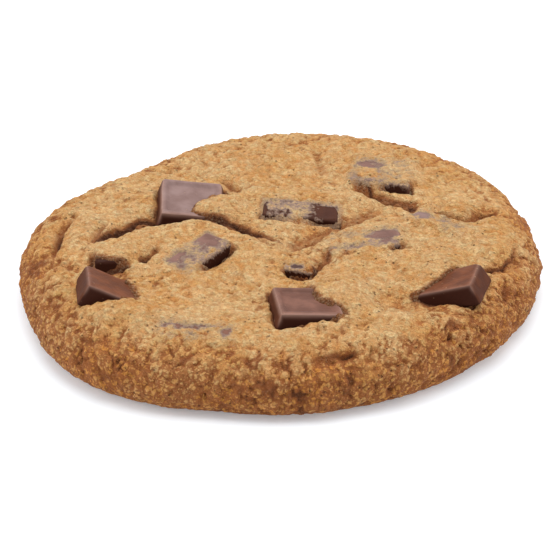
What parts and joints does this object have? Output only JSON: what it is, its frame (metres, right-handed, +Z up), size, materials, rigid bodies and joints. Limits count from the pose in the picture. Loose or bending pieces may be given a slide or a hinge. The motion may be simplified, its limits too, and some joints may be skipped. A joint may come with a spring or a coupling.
{
  "type": "chocolate chip cookie",
  "caption": "Thick round cookie of craggy golden baked dough, flat underneath, with blocks of chocolate bedded in its top, some bare and some half covered by folds of dough.",
  "frame": {"origin": "on the table, under the middle of the cookie", "axes": "+Z up through the thickness, -Y towards the viewer, +X to the viewer's right"},
  "size_m": [0.1016, 0.103, 0.0167],
  "materials": {
    "dough": "matte golden-brown baked crumb, browner at the rim",
    "chocolate": "satin dark chocolate, dusted with dough where it is half buried"
  },
  "bodies": {
    "root": {"dough": "dough", "chunk_back_left": "chocolate", "chunk_left": "chocolate", "chunk_front": "chocolate", "chunk_right": "chocolate", "chunk_back_right": "chocolate", "chunk_middle": "chocolate", "chunk_left_middle": "chocolate", "chunk_right_middle": "chocolate", "chunk_centre": "chocolate", "chunk_left_small": "chocolate", "chunk_front_left": "chocolate", "chunk_right_edge": "chocolate"}
  },
  "joints": []
}
